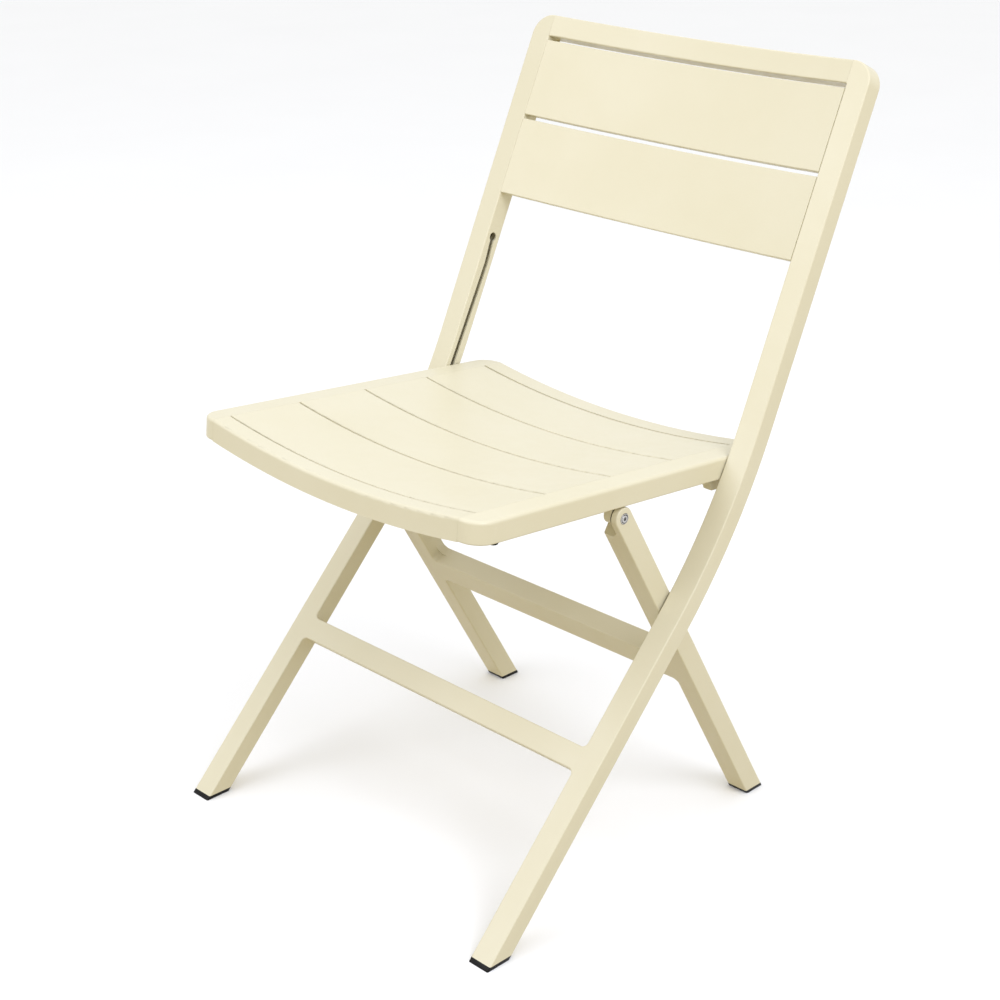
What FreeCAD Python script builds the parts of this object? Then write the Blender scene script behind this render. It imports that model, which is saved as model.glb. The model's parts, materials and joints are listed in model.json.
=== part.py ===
import FreeCAD, Part
import math
import os
from FreeCAD import Vector

# Folding chair of painted aluminium tube. Millimetres and degrees.
# Frame: origin on the floor at the centre of the plan, +X to the sitter's left, +Y to the back,
# +Z up. Left and right are the sitter's. One side is drawn at +X and mirrored for the other.

# Overall and tube sizes
chair_width = 460.0          # over the outer faces of the uprights
tube_width = 26.0            # uprights and rear legs, along X
upright_depth = 22.0
rear_leg_depth = 23.0
tube_wall = 2.0
tube_edge_radius = 1.6
joint_gap = 0.3              # between pieces of different bodies that pass close
running_clearance = 0.05     # radial, round bolts and bushes
overcut = 1.0                # how far a cutting shape stands out of what it cuts
near = 0.01                  # edges this close to a plane lie in it

# Uprights: straight front leg, gentle bend, straight back post
front_leg_lean = 43.7        # from vertical
back_lean = 24.4
bend_radius = 650.0          # at the tube's middle
bend_height = 354.9          # where the front faces of leg and post would meet
back_post_length = 488.4     # from there to the top

# Back
rail_height = 24.5
top_corner_radius = 24.0     # no more than the tube's width less its edge radius
back_dish = 13.0
back_slat_thickness = 10.0
back_slat_height = 88.3
back_gap = 4.7
slat_wall = 1.5
slat_edge_radius = 1.0
weld_seam = 0.15             # hairline between a slat's end and what it is welded to
weld_fill = 0.8              # share of a leg's rounded edge that a stretcher's weld fills

# Stretchers
front_stretcher_top = 233.5  # up the front leg's front face, from the floor
front_stretcher_height = 25.0
front_stretcher_depth = 14.0
rear_stretcher_drop = 225.5  # below the ear's centre, along the rear leg
rear_stretcher_height = 34.5
gusset_leg = 14.0
stretcher_corner = 6.0       # concave, above and below each end of both

# Pivot of uprights and rear legs
pivot_height = 280.0
pivot_setback = 13.7         # behind the upright's front face
pivot_offset = 3.0           # behind the rear leg's middle line
pivot_gap = 2.4              # between upright and rear leg
pivot_washer = 2.1
pivot_washer_diameter = 18.0
pivot_bolt_diameter = 8.0
pivot_head_diameter = 13.0
pivot_head_height = 3.5
pivot_head_round = 1.4
pivot_hex = 5.0
pivot_socket_depth = 2.1
pivot_bolt_end = 2.0         # from the bolt's end to the insert's
bush_diameter = 11.0
insert_diameter = 11.0
insert_length = 16.0

# Rear legs
rear_leg_lean = 30.87
ear_reach = 138.3            # from the pivot up to the ear's centre
ear_thickness = 7.0
notch_front = 20.0           # the inner part of the tube's end is cut this far below the ear's centre
notch_rear = 8.0
notch_flare_width = 6.5      # the ear thickens by this much at the notch's foot
notch_flare_height = 8.0
leg_plug = 10.0              # solid end of the tube under the notch

# Seat, in its own directions: "reach" to the back and "rise" square to the seat, from the ear's centre
seat_tilt = 5.1
seat_front_reach = -205.0
seat_rear_reach = 217.0
seat_side_gap = 1.0          # to each upright
rail_rise = 13.0             # underside of the side rails
rail_depth = 23.0
rail_width = 25.0
seat_corner_radius = 22.0
seat_edge_radius = 3.5
seat_dish = 14.0
seat_slat_count = 4
seat_gap = 2.6
seat_slat_thickness = 10.0
first_gap_reach = -183.7     # front edge of the first gap
last_gap_reach = 187.2       # front edge of the last gap

# Seat hinge: a screw through each ear into a lug under the rail
lug_thickness = 10.0
lug_radius = 8.5
hinge_gap = 2.2              # between ear and lug
hinge_washer = 1.9
hinge_washer_diameter = 20.0
hinge_screw_diameter = 6.0
hinge_head_diameter = 11.0
hinge_head_height = 3.0
hinge_head_round = 0.8
hinge_head_proud = 1.0
hinge_hex = 4.0
hinge_socket_depth = 2.1
hinge_screw_depth = 8.0      # thread in the lug

# Slide pins in the uprights' slots
pin_reach = 156.3
pin_rise = 23.3
pin_diameter = 4.0
pin_head_diameter = 8.6
pin_head_height = 2.5
pin_seat_depth = 12.0        # how far the pin goes into the rail
slot_clearance = 0.9         # each side of the pin
keyhole_rise = 22.0          # above the pin's highest place
slide_lug_length = 20.0
slide_lug_drop = 15.0
slide_lug_taper = 9.0

# Motion
fold_angle = 60.0
tilt_ratio = 1.912           # turn of the seat about the ears for each degree of fold

# Feet and bumpers
foot_height = 4.0
foot_plug_height = 14.0
plug_clearance = 0.1
bumper_diameter = 10.0
bumper_height = 4.0
bumper_reach = -174.0
bumper_round = 1.0

# ---- places worked out from the sizes above, in the side view (y, z) ----
# y is counted from the front foot's front edge until every piece is moved to the plan's centre.

half_width = chair_width / 2
outer_corner_radius = min(top_corner_radius, tube_width - tube_edge_radius)
inner_face = half_width - tube_width
leg_face = inner_face - pivot_gap
leg_inner_face = leg_face - tube_width
seat_half = inner_face - seat_side_gap
rail_inner = seat_half - rail_width
ear_inner = leg_face - ear_thickness
lug_outer = ear_inner - hinge_gap


def direction(lean):
    """Unit vector up a line that leans to the back by this angle from vertical."""
    return Vector(0, math.sin(math.radians(lean)), math.cos(math.radians(lean)))


def rearward(lean):
    """Unit vector square to that line, to the back."""
    return Vector(0, math.cos(math.radians(lean)), -math.sin(math.radians(lean)))


def turned(vector, degrees):
    """The vector turned about +X."""
    return FreeCAD.Rotation(Vector(1, 0, 0), degrees).multVec(vector)


def side(y, z):
    return Vector(0, y, z)


leg_up, leg_back = direction(front_leg_lean), rearward(front_leg_lean)
post_up, post_back = direction(back_lean), rearward(back_lean)
bend_turn = math.radians(front_leg_lean - back_lean)
bend_corner = side(bend_height * math.tan(math.radians(front_leg_lean)), bend_height)
bend_tangent = (bend_radius - upright_depth / 2) * math.tan(bend_turn / 2)
bend_centre = bend_corner - leg_up * bend_tangent - leg_back * (bend_radius - upright_depth / 2)
post_top = bend_corner + post_up * back_post_length

pivot = bend_corner + leg_back * pivot_setback
pivot = pivot - leg_up * ((pivot.z - pivot_height) / leg_up.z)

rear_up = direction(-rear_leg_lean)
rear_back = rearward(-rear_leg_lean)
leg_middle = pivot - rear_back * pivot_offset
ear = leg_middle + rear_up * ear_reach
rear_foot = leg_middle - rear_up * (leg_middle.z / rear_up.z)

seat_back = turned(Vector(0, 1, 0), -seat_tilt)
seat_up = turned(Vector(0, 0, 1), -seat_tilt)
pin = ear + seat_back * pin_reach + seat_up * pin_rise

overall_depth = (post_top + post_back * (upright_depth + back_dish)).y
to_plan_centre = Vector(0, -overall_depth / 2, 0)


def pin_at(fold):
    """Where the slide pin is once the rear legs have folded by this many degrees."""
    ear_then = pivot + turned(ear - pivot, -fold)
    return ear_then + turned(pin - ear, (tilt_ratio - 1) * fold)


# ---- shape helpers ----

def extrude_x(face, x_low, x_high):
    solid = face.extrude(Vector(x_high - x_low, 0, 0))
    solid.translate(Vector(x_low, 0, 0))
    return solid


def polygon(points):
    return Part.Face(Part.makePolygon(points + [points[0]]))


def rod(centre, x_low, x_high, diameter):
    base = Vector(x_low, centre.y, centre.z)
    return Part.makeCylinder(diameter / 2, x_high - x_low, base, Vector(1, 0, 0))


def hexagon(centre, x_low, x_high, across_flats):
    radius = across_flats / math.sqrt(3)
    corners = [side(centre.y + radius * math.cos(math.radians(60 * i)),
                    centre.z + radius * math.sin(math.radians(60 * i))) for i in range(6)]
    return extrude_x(polygon(corners), x_low, x_high)


def rims_at(solid, x):
    """Edges that lie in the plane at this X."""
    return [edge for edge in solid.Edges
            if edge.BoundBox.XLength < near and abs(edge.BoundBox.XMin - x) < near]


def edge_middle(edge):
    return edge.valueAt((edge.FirstParameter + edge.LastParameter) / 2)


def mirrored(shape):
    return shape.mirror(Vector(0, 0, 0), Vector(1, 0, 0))


def long_edges(solid, along, ends):
    """Edges that run from end to end of a bar: none of them lies in the planes of its two ends."""
    chosen = []
    for edge in solid.Edges:
        clear = all(abs((edge_middle(edge) - end).dot(normal)) > near for end, normal in ends)
        tangent = edge.tangentAt((edge.FirstParameter + edge.LastParameter) / 2)
        if clear and abs(tangent.dot(along)) > 0.5:
            chosen.append(edge)
    return chosen


# ---- uprights ----

def upright_band(front, back, low_z, top_trim):
    """Side view of the bent tube between two depths behind its front face."""
    def line_points(depth):
        radius = bend_radius - upright_depth / 2 + depth
        start = bend_centre + leg_back * radius
        end = bend_centre + post_back * radius
        middle = bend_centre + (leg_back + post_back).normalize() * radius
        low = start - leg_up * ((start.z - low_z) / leg_up.z)
        top = end + post_up * ((post_top - end).dot(post_up) - top_trim)
        return low, start, middle, end, top

    f_low, f_start, f_middle, f_end, f_top = line_points(front)
    b_low, b_start, b_middle, b_end, b_top = line_points(back)
    edges = [Part.makeLine(f_low, f_start), Part.Arc(f_start, f_middle, f_end).toShape(),
             Part.makeLine(f_end, f_top), Part.makeLine(f_top, b_top), Part.makeLine(b_top, b_end),
             Part.Arc(b_end, b_middle, b_start).toShape(), Part.makeLine(b_start, b_low),
             Part.makeLine(b_low, f_low)]
    return Part.Face(Part.Wire(edges))


def slot_face():
    """The slot follows the pin, then runs straight on to the keyhole."""
    steps = 6
    middle = [pin_at(fold_angle * i / steps) for i in range(steps + 1)]
    tangent = (middle[-1] - middle[-2]).normalize()
    keyhole = middle[-1] + tangent * keyhole_rise
    middle.append(keyhole)
    half = pin_diameter / 2 + slot_clearance
    curve = Part.BSplineCurve()
    curve.interpolate(middle)
    sides = {1: [], -1: []}
    for point in middle:
        along = Vector(*curve.tangent(curve.parameter(point))[0])
        across = Vector(0, along.z, -along.y).normalize()
        for sign in sides:
            sides[sign].append(point + across * half * sign)
    edges = []
    for sign in (1, -1):
        edge_curve = Part.BSplineCurve()
        edge_curve.interpolate(sides[sign] if sign == 1 else sides[sign][::-1])
        edges.append(edge_curve.toShape())
    down = (middle[0] - middle[1]).normalize()
    bottom = Part.Arc(sides[-1][0], middle[0] + down * half, sides[1][0]).toShape()
    top = Part.Arc(sides[1][-1], keyhole + tangent * half, sides[-1][-1]).toShape()
    face = Part.Face(Part.Wire([edges[0], top, edges[1], bottom]))
    return face, keyhole


def make_upright():
    tube = extrude_x(upright_band(0, upright_depth, foot_height, rail_height), inner_face, half_width)
    ends = [(side(0, foot_height), Vector(0, 0, 1)), (post_top - post_up * rail_height, post_up)]
    tube = tube.makeFillet(tube_edge_radius, long_edges(tube, (leg_up + post_up).normalize(), ends))
    cavity = upright_band(tube_wall, upright_depth - tube_wall, 0, 0)
    tube = tube.cut(extrude_x(cavity, inner_face + tube_wall, half_width - tube_wall))
    slot, keyhole = slot_face()
    wall = (inner_face - overcut, inner_face + tube_wall + overcut)
    tube = tube.cut(extrude_x(slot, *wall))
    tube = tube.cut(rod(keyhole, *wall, pin_head_diameter + 2 * slot_clearance))
    tube = tube.cut(rod(pivot, *wall, pivot_bolt_diameter + 2 * running_clearance))
    return tube


# ---- dished bars, drawn across the chair and pushed along a direction ----

def dished_face(half_span, dish, near, far):
    """Curved strip between two depths, its hollow side towards -Y, in the XY plane at y = 0."""
    radius = (half_span ** 2 + dish ** 2) / (2 * dish)
    centre_y = dish - radius

    def arc(depth):
        r = radius + depth
        end_y = centre_y + math.sqrt(r ** 2 - half_span ** 2)
        return [Vector(-half_span, end_y, 0), Vector(0, centre_y + r, 0), Vector(half_span, end_y, 0)]

    a, b = arc(near), arc(far)
    edges = [Part.Arc(*a).toShape(), Part.makeLine(a[2], b[2]), Part.Arc(*b[::-1]).toShape(),
             Part.makeLine(b[0], a[0])]
    return Part.Face(Part.Wire(edges))


def dished_bar(half_span, dish, thickness, height, wall, radius):
    """Hollow, open-ended dished bar: hollow side to -Y, height along +Z, rounded long edges."""
    bar = dished_face(half_span, dish, 0, thickness).extrude(Vector(0, 0, height))
    if radius:
        bar = bar.makeFillet(radius, [edge for edge in bar.Edges if abs(edge_middle(edge).x) < near])
    if wall:
        hollow = dished_face(half_span, dish, wall, thickness - wall).extrude(Vector(0, 0, height - 2 * wall))
        hollow.translate(Vector(0, 0, wall))
        bar = bar.cut(hollow)
    return bar


def placed(shape, origin, y_axis, z_axis):
    """Moves a shape drawn on X, Y, Z to these Y and Z directions at this origin."""
    x_axis = y_axis.cross(z_axis)
    rotation = FreeCAD.Rotation(x_axis, y_axis, z_axis, "XYZ")
    moved = shape.copy()
    moved.Placement = FreeCAD.Placement(origin, rotation).multiply(shape.Placement)
    return moved


def back_level(distance_from_top):
    """Point on the posts' front plane, this far down from the top."""
    return post_top - post_up * distance_from_top


def make_top_rail():
    bar = dished_bar(inner_face - weld_seam, back_dish, upright_depth, rail_height, 0, tube_edge_radius)
    return placed(bar, back_level(rail_height), post_back, post_up)


def make_top_corner():
    """Corner that joins the top rail to an upright, rounded on the outside."""
    arc_centre = Vector(half_width - outer_corner_radius, 0, rail_height - outer_corner_radius)
    side_end = arc_centre + Vector(outer_corner_radius, 0, 0)
    top_start = arc_centre + Vector(0, 0, outer_corner_radius)
    middle = arc_centre + Vector(1, 0, 1).normalize() * outer_corner_radius
    corners = [Vector(inner_face, 0, rail_height), Vector(inner_face, 0, 0), Vector(half_width, 0, 0)]
    edges = [Part.makeLine(corners[0], corners[1]), Part.makeLine(corners[1], corners[2]),
             Part.makeLine(corners[2], side_end), Part.Arc(side_end, middle, top_start).toShape(),
             Part.makeLine(top_start, corners[0])]
    corner = Part.Face(Part.Wire(edges)).extrude(Vector(0, upright_depth, 0))
    rims = [edge for edge in corner.Edges
            if edge.BoundBox.YLength < near and edge.BoundBox.XMax > inner_face + near
            and edge.BoundBox.ZMax > near]
    return placed(corner.makeFillet(tube_edge_radius, rims), back_level(rail_height), post_back, post_up)


def make_back_slat(distance_from_top):
    bar = dished_bar(inner_face - weld_seam, back_dish, back_slat_thickness, back_slat_height,
                     slat_wall, slat_edge_radius)
    return placed(bar, back_level(distance_from_top + back_slat_height), post_back, post_up)


# ---- stretchers ----

def flush_bar(face_x, low, high, depth):
    """Bar between two legs, flush with their front faces: X across, Y to the back, Z up the legs.

    Its ends fill the legs' rounded edges, as the weld does, and its corners are concave.
    """
    corner = stretcher_corner
    reach = face_x + tube_edge_radius * weld_fill
    straight = face_x - corner
    bend = corner * (1 - math.sqrt(0.5))

    def level(x, z):
        return Vector(x, 0, z)

    edges = []
    for sign in (1, -1):
        edges.append(Part.makeLine(level(sign * reach, low - corner), level(sign * reach, high + corner)))
        for z, outer in ((high, high + corner), (low, low - corner)):
            start = level(sign * face_x, outer)
            middle = level(sign * (face_x - bend), z + math.copysign(bend, outer - z))
            edges.append(Part.makeLine(level(sign * reach, outer), start))
            edges.append(Part.Arc(start, middle, level(sign * straight, z)).toShape())
    for z in (high, low):
        edges.append(Part.makeLine(level(-straight, z), level(straight, z)))
    outline = Part.Face(Part.Wire(Part.__sortEdges__(edges)))
    bar = outline.extrude(Vector(0, depth, 0))
    rims = [edge for edge in bar.Edges
            if edge.BoundBox.YLength < near and abs(edge_middle(edge).x) < face_x - near]
    return bar.makeFillet(tube_edge_radius, rims)


def make_front_stretcher(uprights):
    bar = flush_bar(inner_face, front_stretcher_top - front_stretcher_height, front_stretcher_top,
                    front_stretcher_depth)
    return placed(bar, Vector(0, 0, 0), leg_back, leg_up).cut(Part.makeCompound(uprights))


def corner_web(base, up, back, sign, face, size, near, far, way):
    """Concave fillet in the corner of a stretcher and a leg, between two depths."""
    start = base + back * near
    corner = Vector(sign * face, start.y, start.z)
    along = Vector(-sign * size, 0, 0)
    a = corner + along
    b = corner + up * size * way
    centre = corner + along + up * size * way
    middle = centre + (corner - centre).normalize() * size
    sunk = up * (-2.0 * way)
    edges = [Part.makeLine(corner + sunk, a + sunk), Part.makeLine(a + sunk, a),
             Part.Arc(a, middle, b).toShape(), Part.makeLine(b, corner + sunk)]
    return Part.Face(Part.Wire(edges)).extrude(back * (far - near))


def make_rear_stretcher(legs):
    front = -rear_back * (rear_leg_depth / 2)
    high = ear - rear_up * rear_stretcher_drop + front
    low = high - rear_up * rear_stretcher_height
    bar = flush_bar(leg_inner_face, -rear_stretcher_height, 0, rear_leg_depth)
    bar = placed(bar, high, rear_back, rear_up).cut(Part.makeCompound(legs))
    half = rear_leg_depth / 2
    far = rear_leg_depth - tube_edge_radius
    webs = []
    for sign in (1, -1):
        webs.append(corner_web(high, rear_up, rear_back, sign, leg_inner_face, gusset_leg, half, far, 1))
        webs.append(corner_web(low, rear_up, rear_back, sign, leg_inner_face, gusset_leg, half, far, -1))
    bar = bar.multiFuse(webs).removeSplitter()
    hollow_high = high + (rear_back - rear_up) * tube_wall
    hollow_low = low + (rear_back + rear_up) * tube_wall
    hollow_depth = rear_back * (rear_leg_depth - 2 * tube_wall)
    hollow = polygon([hollow_high, hollow_low, hollow_low + hollow_depth, hollow_high + hollow_depth])
    return bar.cut(extrude_x(hollow, -leg_inner_face, leg_inner_face))


# ---- rear legs ----

def rear_leg_outline(inset, low_z, high):
    """Side view of the rear leg, this far inside its faces, from a height to a distance along it."""
    half = rear_leg_depth / 2 - inset
    base = rear_foot - rear_back * half
    low_front = base - rear_up * ((base.z - low_z) / rear_up.z)
    base = rear_foot + rear_back * half
    low_back = base - rear_up * ((base.z - low_z) / rear_up.z)
    high_middle = ear + rear_up * high
    return low_front, low_back, high_middle + rear_back * half, high_middle - rear_back * half


def make_rear_leg():
    low_front, low_back, high_back, high_front = rear_leg_outline(0, foot_height, 0)
    crown = ear + rear_up * (rear_leg_depth / 2)
    edges = [Part.makeLine(low_front, low_back), Part.makeLine(low_back, high_back),
             Part.Arc(high_back, crown, high_front).toShape(), Part.makeLine(high_front, low_front)]
    leg = extrude_x(Part.Face(Part.Wire(edges)), leg_inner_face, leg_face)
    rounded = [edge for edge in rims_at(leg, leg_inner_face) + rims_at(leg, leg_face)
               if edge.BoundBox.ZMax > foot_height + near]
    leg = leg.makeFillet(tube_edge_radius, rounded)

    half = rear_leg_depth / 2 + overcut
    slope = (notch_front - notch_rear) / rear_leg_depth
    notch = [ear - rear_back * half - rear_up * (notch_front + slope),
             ear + rear_back * half - rear_up * (notch_rear - slope),
             ear + rear_back * half + rear_up * rear_leg_depth,
             ear - rear_back * half + rear_up * rear_leg_depth]
    foot = ear - rear_back * half - rear_up * (notch_front + slope)
    flare = [Vector(ear_inner, foot.y, foot.z), Vector(ear_inner - notch_flare_width, foot.y, foot.z)]
    flare.append(flare[0] + rear_up * notch_flare_height)
    kept = polygon(flare).extrude(rear_back * (2 * half))
    leg = leg.cut(extrude_x(polygon(notch), leg_inner_face - overcut, ear_inner).cut(kept))

    inside = rear_leg_outline(tube_wall, 0, -notch_front - leg_plug)
    leg = leg.cut(extrude_x(polygon(list(inside)), leg_inner_face + tube_wall, leg_face - tube_wall))
    through = (leg_inner_face - overcut, leg_face + overcut)
    leg = leg.cut(rod(pivot, *through, bush_diameter + 2 * running_clearance))
    leg = leg.cut(rod(ear, *through, hinge_screw_diameter + 2 * running_clearance))
    counterbore = leg_face - (hinge_head_height - hinge_head_proud) - joint_gap
    return leg.cut(rod(ear, counterbore, leg_face + overcut, hinge_head_diameter + 2 * joint_gap))


# ---- feet ----

def make_foot(outline, inner_outline, x_low, x_high):
    pad = extrude_x(polygon(outline), x_low, x_high)
    inset = tube_wall + plug_clearance
    plug = extrude_x(polygon(inner_outline), x_low + inset, x_high - inset)
    return pad.fuse(plug).removeSplitter()


def front_foot_outline(inset, low_z, high_z):
    front = leg_back * inset
    back = leg_back * (upright_depth - inset)
    points = []
    for base, z in ((front, low_z), (back, low_z), (back, high_z), (front, high_z)):
        points.append(base + leg_up * ((z - base.z) / leg_up.z))
    return points


def rear_foot_outline(inset, low_z, high_z):
    low_front, low_back, _, _ = rear_leg_outline(inset, low_z, 0)
    high_front, high_back, _, _ = rear_leg_outline(inset, high_z, 0)
    return [low_front, low_back, high_back, high_front]


# ---- pivot hardware ----

def make_pivot_bolt():
    shoulder = leg_inner_face - joint_gap
    crown = shoulder - pivot_head_height
    tip = inner_face + tube_wall + insert_length - pivot_bolt_end
    shank = rod(pivot, shoulder, tip, pivot_bolt_diameter)
    head = rod(pivot, crown, shoulder, pivot_head_diameter)
    head = head.makeFillet(pivot_head_round, rims_at(head, crown))
    socket = hexagon(pivot, crown - overcut, crown + pivot_socket_depth, pivot_hex)
    return head.fuse(shank).removeSplitter().cut(socket)


def make_ring(x_low, x_high, centre, outer, inner):
    """Washer or bush on an X axis."""
    return rod(centre, x_low, x_high, outer).cut(rod(centre, x_low - overcut, x_high + overcut, inner))


def make_pivot_insert():
    start = inner_face + tube_wall
    return make_ring(start, start + insert_length, pivot, insert_diameter, pivot_bolt_diameter)


def make_pivot_bush():
    bore = pivot_bolt_diameter + 2 * running_clearance
    return make_ring(leg_inner_face, leg_face, pivot, bush_diameter, bore)


def make_pivot_washer():
    bore = pivot_bolt_diameter + 2 * running_clearance
    return make_ring(inner_face - pivot_washer, inner_face, pivot, pivot_washer_diameter, bore)


# ---- seat ----

def seat_point(reach, rise, x=0.0):
    point = ear + seat_back * reach + seat_up * rise
    return Vector(x, point.y, point.z)


def in_seat(shape):
    """Moves a shape drawn with reach along Y and rise along Z, from the ear's centre, onto the seat."""
    return placed(shape, ear, seat_back, seat_up)


def make_side_rail():
    length = seat_rear_reach - seat_front_reach
    rail = Part.makeBox(rail_width, length, rail_depth, Vector(rail_inner, seat_front_reach, rail_rise))
    corners = [edge for edge in rims_at(rail, seat_half) if edge.BoundBox.ZLength > near]
    rail = rail.makeFillet(seat_corner_radius, corners)
    for z, radius in ((rail_rise + rail_depth, seat_edge_radius), (rail_rise, seat_edge_radius / 2)):
        rim = [edge for edge in rail.Edges
               if abs(edge.BoundBox.ZMax - z) < near and edge.BoundBox.ZLength < near
               and edge.BoundBox.XMax > rail_inner + near]
        rail = rail.makeFillet(radius, rim)
    pin_hole = rod(side(pin_reach, pin_rise), seat_half - pin_seat_depth, seat_half + overcut,
                   pin_diameter + 2 * running_clearance)
    return in_seat(rail.cut(pin_hole))


def make_seat_slat(reach, width):
    """Dished bar across the seat: its hollow side up, its width along the seat."""
    bar = dished_bar(rail_inner - weld_seam, seat_dish, seat_slat_thickness, width, slat_wall,
                     slat_edge_radius)
    return placed(bar, seat_point(reach, rail_rise + rail_depth), -seat_up, seat_back)


def make_end_rail(reach, width, outer_is_front):
    bar = dished_bar(rail_inner - weld_seam, seat_dish, rail_depth, width, 0, 0)
    outer_z = 0 if outer_is_front else width
    rims = [edge for edge in bar.Edges
            if abs(edge_middle(edge).x) < near and abs(edge_middle(edge).z - outer_z) < near]
    top_rim = min(rims, key=lambda edge: edge_middle(edge).y)
    bar = bar.makeFillet(seat_edge_radius, [top_rim])
    hollow = dished_face(rail_inner, seat_dish, seat_edge_radius, rail_depth - slat_wall)
    hollow = hollow.extrude(Vector(0, 0, width - 2 * seat_edge_radius))
    hollow.translate(Vector(0, 0, seat_edge_radius))
    return placed(bar.cut(hollow), seat_point(reach, rail_rise + rail_depth), -seat_up, seat_back)


def make_seat_lug():
    front, back = -lug_radius, lug_radius
    edges = [Part.makeLine(side(front, 0), side(front, rail_rise)),
             Part.makeLine(side(front, rail_rise), side(back, rail_rise)),
             Part.makeLine(side(back, rail_rise), side(back, 0)),
             Part.Arc(side(back, 0), side(0, -lug_radius), side(front, 0)).toShape()]
    lug = extrude_x(Part.Face(Part.Wire(edges)), lug_outer - lug_thickness, lug_outer)
    bore = rod(side(0, 0), lug_outer - hinge_screw_depth, lug_outer + overcut,
               hinge_screw_diameter + 2 * running_clearance)
    return in_seat(lug.cut(bore))


def make_hinge_screw():
    shoulder = leg_face - (hinge_head_height - hinge_head_proud)
    crown = shoulder + hinge_head_height
    shank = rod(ear, lug_outer - hinge_screw_depth, shoulder, hinge_screw_diameter)
    head = rod(ear, shoulder, crown, hinge_head_diameter)
    head = head.makeFillet(hinge_head_round, rims_at(head, crown))
    socket = hexagon(ear, crown - hinge_socket_depth, crown + overcut, hinge_hex)
    return shank.fuse(head).removeSplitter().cut(socket)


def make_hinge_washer():
    bore = hinge_screw_diameter + 2 * running_clearance
    return make_ring(lug_outer, lug_outer + hinge_washer, ear, hinge_washer_diameter, bore)


def make_slide_lug():
    start = pin_reach - slide_lug_length / 2
    end = pin_reach + slide_lug_length / 2
    low = rail_rise - slide_lug_drop
    outline = [side(start - slide_lug_taper, rail_rise), side(end, rail_rise), side(end, low),
               side(start, low)]
    return in_seat(extrude_x(polygon(outline), lug_outer - lug_thickness, lug_outer))


def make_slide_pin():
    shank_end = inner_face + tube_wall + joint_gap
    shank = rod(pin, seat_half - pin_seat_depth, shank_end, pin_diameter)
    head = rod(pin, shank_end, shank_end + pin_head_height, pin_head_diameter)
    return shank.fuse(head).removeSplitter()


def make_bumper():
    base = seat_point(bumper_reach, rail_rise - bumper_height, (ear_inner + lug_outer) / 2)
    bumper = Part.makeCylinder(bumper_diameter / 2, bumper_height, base, seat_up)
    low = [edge for edge in bumper.Edges if (edge.CenterOfMass - base).Length < near]
    return bumper.makeFillet(bumper_round, low)


# ---- the chair's nodes ----

def both_sides(shape):
    return Part.makeCompound([shape, mirrored(shape)])


def build_nodes():
    nodes = {}
    upright = make_upright()
    nodes["left_upright"], nodes["right_upright"] = upright, mirrored(upright)
    nodes["top_rail"] = make_top_rail()
    corner = make_top_corner()
    nodes["left_top_corner"], nodes["right_top_corner"] = corner, mirrored(corner)
    nodes["upper_back_slat"] = make_back_slat(rail_height + back_gap)
    nodes["lower_back_slat"] = make_back_slat(rail_height + 2 * back_gap + back_slat_height)
    nodes["front_stretcher"] = make_front_stretcher([upright, mirrored(upright)])
    nodes["pivot_inserts"] = both_sides(make_pivot_insert())
    nodes["pivot_bolts"] = both_sides(make_pivot_bolt())
    nodes["pivot_washers"] = both_sides(make_pivot_washer())
    foot = make_foot(front_foot_outline(0, 0, foot_height),
                     front_foot_outline(tube_wall + plug_clearance, foot_height, foot_plug_height),
                     inner_face, half_width)
    nodes["front_left_foot"], nodes["front_right_foot"] = foot, mirrored(foot)

    leg = make_rear_leg()
    nodes["left_rear_leg"], nodes["right_rear_leg"] = leg, mirrored(leg)
    nodes["rear_stretcher"] = make_rear_stretcher([leg, mirrored(leg)])
    nodes["pivot_bushes"] = both_sides(make_pivot_bush())
    foot = make_foot(rear_foot_outline(0, 0, foot_height),
                     rear_foot_outline(tube_wall + plug_clearance, foot_height, foot_plug_height),
                     leg_inner_face, leg_face)
    nodes["rear_left_foot"], nodes["rear_right_foot"] = foot, mirrored(foot)

    rail = make_side_rail()
    nodes["seat_left_rail"], nodes["seat_right_rail"] = rail, mirrored(rail)
    nodes["seat_front_rail"] = make_end_rail(seat_front_reach, first_gap_reach - seat_front_reach, True)
    rear_start = last_gap_reach + seat_gap
    nodes["seat_rear_rail"] = make_end_rail(rear_start, seat_rear_reach - rear_start, False)
    pitch = (last_gap_reach - first_gap_reach) / seat_slat_count
    for number in range(seat_slat_count):
        start = first_gap_reach + seat_gap + number * pitch
        nodes[f"seat_slat_{number + 1}"] = make_seat_slat(start, pitch - seat_gap)
    lug = make_seat_lug()
    nodes["left_seat_lug"], nodes["right_seat_lug"] = lug, mirrored(lug)
    lug = make_slide_lug()
    nodes["left_slide_lug"], nodes["right_slide_lug"] = lug, mirrored(lug)
    nodes["hinge_screws"] = both_sides(make_hinge_screw())
    nodes["hinge_washers"] = both_sides(make_hinge_washer())
    nodes["slide_pins"] = both_sides(make_slide_pin())
    nodes["seat_bumpers"] = both_sides(make_bumper())
    return nodes


def main():
    os.makedirs("parts", exist_ok=True)
    for name, shape in build_nodes().items():
        shape.translate(to_plan_centre)
        shape.exportStep(os.path.join("parts", name + ".step"))
        print(f"{name:20s} solids {len(shape.Solids)} valid {shape.isValid()} "
              f"volume {shape.Volume / 1000:8.2f} cm3")
    for label, point in (("pivot", pivot), ("ear", ear), ("pin", pin)):
        place = point + to_plan_centre
        print(f"{label:6s} y {place.y:.3f} z {place.z:.3f}")
    print(f"overall depth {overall_depth:.2f}, height {post_top.z:.2f}")


main()
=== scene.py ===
import json
import math

import bmesh
import bpy
from mathutils import Matrix, Vector


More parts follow.
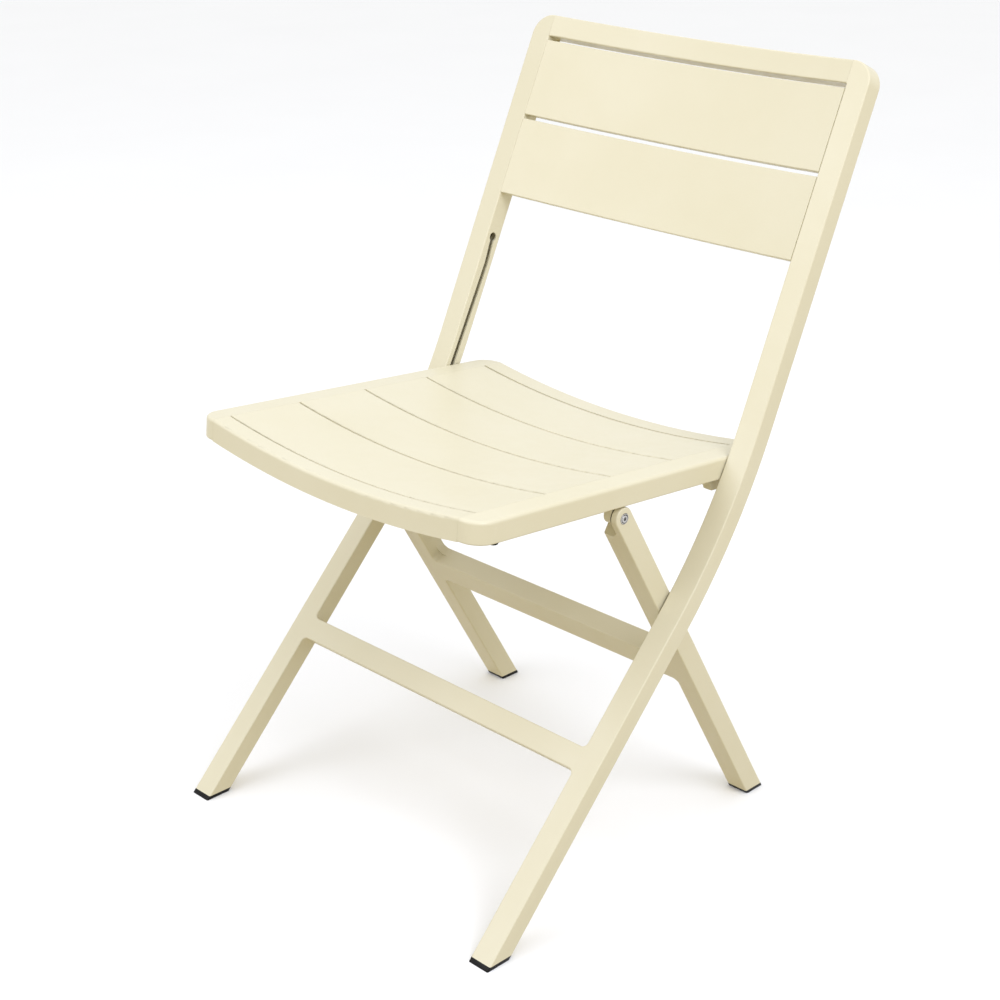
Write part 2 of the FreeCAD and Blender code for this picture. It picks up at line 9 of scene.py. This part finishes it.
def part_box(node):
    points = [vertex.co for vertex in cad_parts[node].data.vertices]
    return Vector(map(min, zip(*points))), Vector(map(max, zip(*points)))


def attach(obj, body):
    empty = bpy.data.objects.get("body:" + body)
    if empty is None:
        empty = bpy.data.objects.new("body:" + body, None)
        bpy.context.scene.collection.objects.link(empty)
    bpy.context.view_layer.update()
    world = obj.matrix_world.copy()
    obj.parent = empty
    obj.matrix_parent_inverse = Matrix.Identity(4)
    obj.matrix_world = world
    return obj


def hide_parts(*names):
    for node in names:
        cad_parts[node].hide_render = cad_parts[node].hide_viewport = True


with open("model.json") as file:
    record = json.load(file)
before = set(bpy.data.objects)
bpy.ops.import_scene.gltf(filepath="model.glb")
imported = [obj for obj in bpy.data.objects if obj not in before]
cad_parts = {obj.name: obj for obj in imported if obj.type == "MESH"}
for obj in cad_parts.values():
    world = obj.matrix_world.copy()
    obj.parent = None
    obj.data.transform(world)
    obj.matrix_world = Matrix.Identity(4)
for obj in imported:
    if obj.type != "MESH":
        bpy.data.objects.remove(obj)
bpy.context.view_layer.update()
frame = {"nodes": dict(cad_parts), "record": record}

scene = bpy.context.scene
nodes = frame["nodes"]
joints = {joint["name"]: joint for joint in frame["record"]["behaviour"]["joints"]}
ear = Vector(joints["seat_tilt"]["pos_m"])    # where the seat turns on the rear legs
pivot = Vector(joints["fold"]["pos_m"])       # where the rear legs cross the uprights


# small helpers that lay out shader nodes

def newMaterial(name):
    material = bpy.data.materials.new(name)
    material.use_nodes = True
    tree = material.node_tree
    return material, tree, tree.nodes["Principled BSDF"]


def addNode(tree, kind, place, **settings):
    node = tree.nodes.new(kind)
    node.location = place
    for key, value in settings.items():
        setattr(node, key, value)
    return node


def objectCoords(tree, place, centre=(0, 0, 0)):
    # centre is the point of the chair that the pattern is centred on
    coords = addNode(tree, "ShaderNodeTexCoord", (place[0] - 200, place[1]))
    mapping = addNode(tree, "ShaderNodeMapping", place, vector_type="TEXTURE")
    mapping.inputs["Location"].default_value = centre
    tree.links.new(coords.outputs["Object"], mapping.inputs["Vector"])
    return mapping.outputs["Vector"]


def noiseNode(tree, vector, place, scale, detail=2.0, roughness=0.5):
    noise = addNode(tree, "ShaderNodeTexNoise", place)
    noise.inputs["Scale"].default_value = scale
    noise.inputs["Detail"].default_value = detail
    noise.inputs["Roughness"].default_value = roughness
    tree.links.new(vector, noise.inputs["Vector"])
    return noise.outputs["Fac"]


def rampNode(tree, value, place, stops):
    ramp = addNode(tree, "ShaderNodeValToRGB", place)
    band = ramp.color_ramp
    while len(band.elements) < len(stops):
        band.elements.new(0.5)
    for element, (position, colour) in zip(band.elements, stops):
        element.position = position
        element.color = (*colour, 1)
    tree.links.new(value, ramp.inputs["Fac"])
    return ramp.outputs["Color"]


def rangeNode(tree, value, place, low, high, fromLow=0.3, fromHigh=0.7):
    # a noise keeps mostly between 0.3 and 0.7
    spread = addNode(tree, "ShaderNodeMapRange", place)
    spread.inputs["From Min"].default_value = fromLow
    spread.inputs["From Max"].default_value = fromHigh
    spread.inputs["To Min"].default_value = low
    spread.inputs["To Max"].default_value = high
    tree.links.new(value, spread.inputs["Value"])
    return spread.outputs["Result"]


def bumpNode(tree, height, place, strength, distance, below=None):
    bump = addNode(tree, "ShaderNodeBump", place)
    bump.inputs["Strength"].default_value = strength
    bump.inputs["Distance"].default_value = distance
    tree.links.new(height, bump.inputs["Height"])
    if below is not None:
        tree.links.new(below, bump.inputs["Normal"])
    return bump.outputs["Normal"]


# cream powder coat: faint clouds in the colour, soft orange peel and a fine grain
paint = {
    "colours": [(0.25, (0.674, 0.628, 0.458)), (0.5, (0.687, 0.642, 0.476)), (0.75, (0.700, 0.657, 0.497))],
    "cloudScale": 9.0,
    "roughness": (0.32, 0.42),
    "roughnessScale": 60.0,
    "specular": 0.45,
    "peel": {"scale": 520.0, "strength": 0.10, "height": 0.0004},
    "grain": {"scale": 2600.0, "strength": 0.06, "height": 0.00005},
}


def makePaint():
    material, tree, shader = newMaterial("creamPowderCoat")
    vector = objectCoords(tree, (-900, 0))
    cloud = noiseNode(tree, vector, (-650, 250), paint["cloudScale"], 3.0)
    tree.links.new(rampNode(tree, cloud, (-400, 250), paint["colours"]), shader.inputs["Base Color"])
    gloss = noiseNode(tree, vector, (-650, 0), paint["roughnessScale"], 4.0, 0.6)
    tree.links.new(rangeNode(tree, gloss, (-400, 0), *paint["roughness"]), shader.inputs["Roughness"])
    shader.inputs["Specular IOR Level"].default_value = paint["specular"]
    peel, grain = paint["peel"], paint["grain"]
    peelNoise = noiseNode(tree, vector, (-650, -250), peel["scale"], 1.0)
    grainNoise = noiseNode(tree, vector, (-650, -450), grain["scale"], 2.0)
    fine = bumpNode(tree, grainNoise, (-400, -450), grain["strength"], grain["height"])
    coarse = bumpNode(tree, peelNoise, (-200, -300), peel["strength"], peel["height"], fine)
    tree.links.new(coarse, shader.inputs["Normal"])
    return material


# stainless steel, turned on a lathe
steel = {
    "colours": [(0.2, (0.36, 0.35, 0.34)), (0.5, (0.47, 0.46, 0.44)), (0.8, (0.58, 0.57, 0.55))],
    "smudgeScale": 500.0,
    "roughness": (0.22, 0.40),
    "rings": {"scale": 900.0, "distortion": 1.5, "detail": 3.0, "strength": 0.25, "height": 0.00004},
}


def makeSteel(name, axisPoint):
    # fine rings round the axis that the screw turns on
    material, tree, shader = newMaterial(name)
    vector = objectCoords(tree, (-900, 0), axisPoint)
    rings = steel["rings"]
    wave = addNode(tree, "ShaderNodeTexWave", (-650, 0), wave_type="RINGS", rings_direction="X")
    wave.inputs["Scale"].default_value = rings["scale"]
    wave.inputs["Distortion"].default_value = rings["distortion"]
    wave.inputs["Detail"].default_value = rings["detail"]
    tree.links.new(vector, wave.inputs["Vector"])
    smudge = noiseNode(tree, vector, (-650, 300), steel["smudgeScale"], 3.0)
    tree.links.new(rampNode(tree, smudge, (-400, 300), steel["colours"]), shader.inputs["Base Color"])
    tree.links.new(rangeNode(tree, smudge, (-400, 50), *steel["roughness"]), shader.inputs["Roughness"])
    bump = bumpNode(tree, wave.outputs["Fac"], (-200, -200), rings["strength"], rings["height"])
    tree.links.new(bump, shader.inputs["Normal"])
    shader.inputs["Metallic"].default_value = 1.0
    return material


# black washers, foot caps and bumpers
blackParts = {
    "nylon": {
        "colours": [(0.3, (0.004, 0.004, 0.004)), (0.7, (0.010, 0.010, 0.009))],
        "roughness": (0.42, 0.58),
        "grain": {"scale": 1500.0, "strength": 0.15},
    },
    "footPlastic": {
        "colours": [(0.3, (0.002, 0.002, 0.002)), (0.7, (0.007, 0.006, 0.005))],
        "roughness": (0.30, 0.46),
        "grain": {"scale": 1100.0, "strength": 0.35},
    },
    "rubber": {
        "colours": [(0.3, (0.005, 0.005, 0.005)), (0.7, (0.014, 0.013, 0.013))],
        "roughness": (0.60, 0.80),
        "grain": {"scale": 900.0, "strength": 0.30},
    },
}
blackSurface = {"cloudScale": 120.0, "grainHeight": 0.0001, "specular": 0.2}


def makeBlack(name):
    values = blackParts[name]
    material, tree, shader = newMaterial(name)
    vector = objectCoords(tree, (-900, 0))
    cloud = noiseNode(tree, vector, (-650, 250), blackSurface["cloudScale"], 4.0)
    tree.links.new(rampNode(tree, cloud, (-400, 250), values["colours"]), shader.inputs["Base Color"])
    tree.links.new(rangeNode(tree, cloud, (-400, 0), *values["roughness"]), shader.inputs["Roughness"])
    shader.inputs["Specular IOR Level"].default_value = blackSurface["specular"]
    grain = noiseNode(tree, vector, (-650, -250), values["grain"]["scale"], 3.0, 0.6)
    bump = bumpNode(tree, grain, (-400, -250), values["grain"]["strength"], blackSurface["grainHeight"])
    tree.links.new(bump, shader.inputs["Normal"])
    return material


print("materials")
finishes = {
    "cream_paint": makePaint(),
    "hinge_screws": makeSteel("earScrewSteel", ear),
    "pivot_bolts": makeSteel("pivotBoltSteel", pivot),
    "black_nylon": makeBlack("nylon"),
    "black_plastic": makeBlack("footPlastic"),
    "black_rubber": makeBlack("rubber"),
}
finishes["stainless_steel"] = finishes["pivot_bolts"]
slotOf = {part["node"]: part["material_slot"] for part in frame["record"]["subparts"]}


def coat(piece, finish):
    material = finishes[finish]
    if piece.data.materials:
        for index in range(len(piece.data.materials)):
            piece.data.materials[index] = material
    else:
        piece.data.materials.append(material)


# every CAD piece gets its finish, the ones that are replaced below too
for name, node in nodes.items():
    coat(node, name if name in finishes else slotOf[name])


# finer pieces that stand for small CAD ones
meshValues = {"turnSegments": 48, "mergeDistance": 0.000001, "smoothAngle": 35}


def facesOf(geometry):
    return [item for item in geometry if isinstance(item, bmesh.types.BMFace)]


def hexRadius(angle, acrossFlats):
    within = (angle + math.radians(30)) % math.radians(60) - math.radians(30)
    return acrossFlats / 2 / math.cos(within)


def turnPiece(shape, start, direction, roundSteps, hexSteps=()):
    # a round face is drawn out step by step, each step a radius and a height along the direction;
    # in a hex step the first number is the width over flats
    before = set(shape.verts)
    radius, height = roundSteps[0]
    made = bmesh.ops.create_circle(shape, cap_ends=True, segments=meshValues["turnSegments"], radius=radius)
    bmesh.ops.translate(shape, verts=made["verts"], vec=(0, 0, height))
    first = face = made["verts"][0].link_faces[0]
    steps = [(size, height, False) for size, height in roundSteps[1:]]
    steps += [(size, height, True) for size, height in hexSteps]
    for size, height, isHex in steps:
        drawn = bmesh.ops.extrude_face_region(shape, geom=[face])
        if face is not first:
            bmesh.ops.delete(shape, geom=[face], context="FACES_ONLY")
        face = facesOf(drawn["geom"])[0]
        for vert in face.verts:
            angle = math.atan2(vert.co.y, vert.co.x)
            radius = hexRadius(angle, size) if isHex else size
            vert.co = (radius * math.cos(angle), radius * math.sin(angle), height)
    verts = [vert for vert in shape.verts if vert not in before]
    turn = Vector((0, 0, 1)).rotation_difference(Vector(direction)).to_matrix().to_4x4()
    bmesh.ops.transform(shape, verts=verts, matrix=Matrix.Translation(start) @ turn)


def finishPiece(name, shape, body, finish, replaced):
    bmesh.ops.remove_doubles(shape, verts=shape.verts, dist=meshValues["mergeDistance"])
    bmesh.ops.recalc_face_normals(shape, faces=shape.faces)
    sharp = math.radians(meshValues["smoothAngle"])
    for face in shape.faces:
        face.smooth = True
    for edge in shape.edges:
        edge.smooth = edge.is_manifold and edge.calc_face_angle(0) < sharp
    mesh = bpy.data.meshes.new(name)
    shape.to_mesh(mesh)
    shape.free()
    piece = bpy.data.objects.new(name, mesh)
    scene.collection.objects.link(piece)
    coat(piece, finish)
    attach(piece, body)
    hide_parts(replaced)


# ear screws: flange, groove, domed head and hex socket
earScrew = {
    "shank": [(0.0024, -0.0140), (0.0030, -0.0134), (0.0030, 0.0)],
    "head": [(0.0051, 0.0), (0.0055, 0.0004), (0.0055, 0.0022), (0.0053, 0.0025), (0.0047, 0.0025),
             (0.0045, 0.0012), (0.0041, 0.0012), (0.0039, 0.0025), (0.0036, 0.0029), (0.0031, 0.0030)],
    "socket": [(0.0038, 0.0030), (0.0035, 0.0028), (0.0034, 0.0004), (0.0014, 0.0002)],
    "height": 0.0030,
}


def makeEarScrews():
    shape = bmesh.new()
    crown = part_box("hinge_screws")[1].x
    for side in (1, -1):
        start = (side * (crown - earScrew["height"]), ear.y, ear.z)
        turnPiece(shape, start, (side, 0, 0), earScrew["shank"] + earScrew["head"], earScrew["socket"])
    finishPiece("earScrews", shape, "seat", "hinge_screws", "hinge_screws")


# pivot bolts: low domed heads on the inner faces of the rear legs
pivotBolt = {
    "shank": [(0.0034, -0.0430), (0.0040, -0.0424), (0.0040, 0.0)],
    "head": [(0.0060, 0.0), (0.0065, 0.0005), (0.0065, 0.0014), (0.0062, 0.0022), (0.0056, 0.0029),
             (0.0047, 0.0033), (0.0037, 0.0035)],
    "socket": [(0.0054, 0.0035), (0.0050, 0.0033), (0.0048, 0.0014), (0.0020, 0.0011)],
    "height": 0.0035,
}


def makePivotBolts():
    shape = bmesh.new()
    crown = min(abs(vert.co.x) for vert in nodes["pivot_bolts"].data.vertices)
    for side in (1, -1):
        start = (side * (crown + pivotBolt["height"]), pivot.y, pivot.z)
        turnPiece(shape, start, (-side, 0, 0), pivotBolt["shank"] + pivotBolt["head"], pivotBolt["socket"])
    finishPiece("pivotBolts", shape, "back_frame", "pivot_bolts", "pivot_bolts")


# seat bumpers: rubber buttons with a rounded rim and a sunk middle
bumper = {
    "profile": [(0.0047, 0.0), (0.0050, 0.0003), (0.0050, 0.0026), (0.0048, 0.0034), (0.0042, 0.0039),
                (0.0034, 0.0040), (0.0027, 0.0038), (0.0022, 0.0030), (0.0010, 0.0027)],
    "radius": 0.0050,
    "height": 0.0040,
    "seatTilt": 5.1,    # degrees, front of the seat up
}


def makeBumpers():
    shape = bmesh.new()
    low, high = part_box("seat_bumpers")
    tilt = math.radians(bumper["seatTilt"])
    down = Vector((0, -math.sin(tilt), -math.cos(tilt)))
    reach = high.x - bumper["radius"]
    for side in (1, -1):
        middle = Vector((side * reach, (low.y + high.y) / 2, (low.z + high.z) / 2))
        turnPiece(shape, middle - down * bumper["height"] / 2, down, bumper["profile"])
    finishPiece("seatBumpers", shape, "seat", "black_rubber", "seat_bumpers")


# foot caps: pad cut level with the floor, ribbed sole, plug up into the tube
footCap = {
    "padHeight": 0.0040,
    "plugHeight": 0.0140,      # top of the plug above the floor
    "plugInset": 0.0021,
    "cornerRadius": 0.0013,
    "soleRadius": 0.000455,
    "soleMargin": 0.0022,
    "ribs": 8,
    "grooveDepth": 0.0008,
    "grooveSlant": 0.0001,
}
legValues = {    # lean in degrees from upright, to the back as it rises; depth over the tube
    "front": {"lean": 43.7, "depth": 0.022, "body": "back_frame"},
    "rear": {"lean": -30.87, "depth": 0.023, "body": "rear_leg_frame"},
}


def lowestFace(shape):
    return min(shape.faces, key=lambda face: face.calc_center_median().z)


def riseAlongLeg(shape, face, rise, lean):
    bmesh.ops.translate(shape, verts=face.verts, vec=(0, rise * math.tan(lean), rise))


def makeFootCap(end, side):
    values = legValues[end]
    node = f"{end}_{side}_foot"
    low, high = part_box(node)
    lean = math.radians(values["lean"])
    length = values["depth"] / math.cos(lean)
    startY = low.y if end == "front" else high.y - length
    shape = bmesh.new()
    made = bmesh.ops.create_grid(shape, x_segments=1, y_segments=1, size=0.5)
    bmesh.ops.scale(shape, verts=made["verts"], vec=(high.x - low.x, length, 1))
    bmesh.ops.translate(shape, verts=made["verts"], vec=((low.x + high.x) / 2, startY + length / 2, 0))
    top = facesOf(bmesh.ops.extrude_face_region(shape, geom=shape.faces[:])["geom"])[0]
    riseAlongLeg(shape, top, footCap["padHeight"], lean)
    bmesh.ops.recalc_face_normals(shape, faces=shape.faces)
    posts = [edge for edge in shape.edges
             if abs(edge.verts[0].co.z - edge.verts[1].co.z) > footCap["padHeight"] / 2]
    bmesh.ops.bevel(shape, geom=posts, offset=footCap["cornerRadius"], offset_type="OFFSET", segments=4,
                    profile=0.5, affect="EDGES", material=-1)
    top = max(shape.faces, key=lambda face: face.calc_center_median().z)
    rim = list(lowestFace(shape).edges)
    bmesh.ops.bevel(shape, geom=rim, offset=footCap["soleRadius"], offset_type="OFFSET", segments=2,
                    profile=0.5, affect="EDGES", material=-1)
    bmesh.ops.inset_region(shape, faces=[top], thickness=footCap["plugInset"])
    plug = facesOf(bmesh.ops.extrude_face_region(shape, geom=[top])["geom"])[0]
    bmesh.ops.delete(shape, geom=[top], context="FACES_ONLY")
    riseAlongLeg(shape, plug, footCap["plugHeight"] - footCap["padHeight"], lean)
    cutSoleGrooves(shape)
    finishPiece(f"{end}{side.title()}FootCap", shape, values["body"], "black_plastic", node)


def cutSoleGrooves(shape):
    # the sole's plate is cut into strips and every other strip is sunk
    sole = lowestFace(shape)
    bmesh.ops.inset_region(shape, faces=[sole], thickness=footCap["soleMargin"])
    lowY = min(vert.co.y for vert in sole.verts)
    highY = max(vert.co.y for vert in sole.verts)
    strips = footCap["ribs"] * 2 + 1
    for step in range(1, strips):
        plate = platePieces(shape, lowY, highY)
        cut = plate + list({edge for face in plate for edge in face.edges})
        cut += list({vert for face in plate for vert in face.verts})
        place = lowY + (highY - lowY) * step / strips
        bmesh.ops.bisect_plane(shape, geom=cut, plane_co=(0, place, 0), plane_no=(0, 1, 0))
    shape.normal_update()
    plate = platePieces(shape, lowY, highY)
    plate.sort(key=lambda face: face.calc_center_median().y)
    bmesh.ops.inset_individual(shape, faces=plate[1::2], thickness=footCap["grooveSlant"],
                               depth=-footCap["grooveDepth"])


def platePieces(shape, lowY, highY):
    # faces that look straight down and lie between the two places
    slack = 0.00001
    return [face for face in shape.faces
            if face.normal.z < -0.99 and min(vert.co.y for vert in face.verts) > lowY - slack
            and max(vert.co.y for vert in face.verts) < highY + slack]


print("ear screws, pivot bolts and bumpers")
makeEarScrews()
makePivotBolts()
makeBumpers()
print("foot caps")
for legEnd in ("front", "rear"):
    for legSide in ("left", "right"):
        makeFootCap(legEnd, legSide)


# a pale paper floor in a soft white room
floorValues = {
    "size": 120.0,
    "colours": [(0.3, (0.925, 0.928, 0.932)), (0.7, (0.935, 0.938, 0.942))],
    "cloudScale": 3.0,
    "roughness": 0.9,
    "specular": 0.1,
}
lampColour = (0.97, 0.995, 1.12)
lamps = {
    "frontSoftbox": {"at": (-0.9, -2.4, 2.1), "aim": (0.0, 0.0, 0.65), "size": 2.0, "power": 21.0},
    "sideFill": {"at": (1.9, -0.4, 2.2), "aim": (0.0, 0.0, 0.80), "size": 1.4, "power": 27.0},
    "topBounce": {"at": (-0.3, 0.2, 3.0), "aim": (0.0, 0.0, 0.40), "size": 2.4, "power": 3.0},
}
roomLight = {
    "strength": 1.0,
    "lowest": -0.3,     # height of the view direction at the ramp's two ends
    "highest": 0.5,
    "colours": [(0.0, (0.57, 0.47, 0.24)), (0.32, (0.68, 0.59, 0.35)),    # below the horizon
                (0.345, (0.92, 0.92, 0.91)), (1.0, (1.0, 1.0, 1.0))],     # above it
}
cameraValues = {"at": (1.3338, -1.4074, 1.1420), "azimuth": 45.626, "elevation": 20.076,
                "lens": 70.73, "shiftX": 0.0435, "shiftY": -0.0865}


def makeFloor():
    shape = bmesh.new()
    bmesh.ops.create_grid(shape, x_segments=1, y_segments=1, size=floorValues["size"] / 2)
    mesh = bpy.data.meshes.new("studioFloor")
    shape.to_mesh(mesh)
    shape.free()
    floor = bpy.data.objects.new("studioFloor", mesh)
    scene.collection.objects.link(floor)
    material, tree, shader = newMaterial("palePaper")
    cloud = noiseNode(tree, objectCoords(tree, (-900, 0)), (-650, 0), floorValues["cloudScale"], 3.0)
    tree.links.new(rampNode(tree, cloud, (-400, 0), floorValues["colours"]), shader.inputs["Base Color"])
    shader.inputs["Roughness"].default_value = floorValues["roughness"]
    shader.inputs["Specular IOR Level"].default_value = floorValues["specular"]
    floor.data.materials.append(material)
    floor.visible_diffuse = False    # the warm half of the room light stands for its bounce


def makeLamp(name, values):
    lamp = bpy.data.lights.new(name, "AREA")
    lamp.shape = "DISK"
    lamp.size = values["size"]
    lamp.energy = values["power"]
    lamp.color = lampColour
    lampObject = bpy.data.objects.new(name, lamp)
    lampObject.location = values["at"]
    aim = Vector(values["aim"]) - Vector(values["at"])
    lampObject.rotation_euler = aim.to_track_quat("-Z", "Y").to_euler()
    scene.collection.objects.link(lampObject)


def makeRoomLight():
    # white above the horizon, warmer and dimmer below it
    room = bpy.data.worlds.new("paleRoom")
    room.use_nodes = True
    tree = room.node_tree
    background = tree.nodes["Background"]
    coords = addNode(tree, "ShaderNodeTexCoord", (-900, 0))
    split = addNode(tree, "ShaderNodeSeparateXYZ", (-700, 0))
    tree.links.new(coords.outputs["Generated"], split.inputs["Vector"])
    height = rangeNode(tree, split.outputs["Z"], (-500, 0), 0.0, 1.0,
                       roomLight["lowest"], roomLight["highest"])
    tree.links.new(rampNode(tree, height, (-300, 0), roomLight["colours"]), background.inputs["Color"])
    background.inputs["Strength"].default_value = roomLight["strength"]
    scene.world = room


def makeCamera():
    camera = bpy.data.objects.new("portraitCamera", bpy.data.cameras.new("portraitCamera"))
    camera.data.lens = cameraValues["lens"]
    camera.data.shift_x = cameraValues["shiftX"]
    camera.data.shift_y = cameraValues["shiftY"]
    camera.location = cameraValues["at"]
    camera.rotation_euler = (math.radians(90 - cameraValues["elevation"]), 0,
                             math.radians(cameraValues["azimuth"]))
    scene.collection.objects.link(camera)
    scene.camera = camera


print("floor, lamps and camera")
makeFloor()
for lampName, lampValues in lamps.items():
    makeLamp(lampName, lampValues)
makeRoomLight()
scene.view_settings.view_transform = "Standard"
makeCamera()
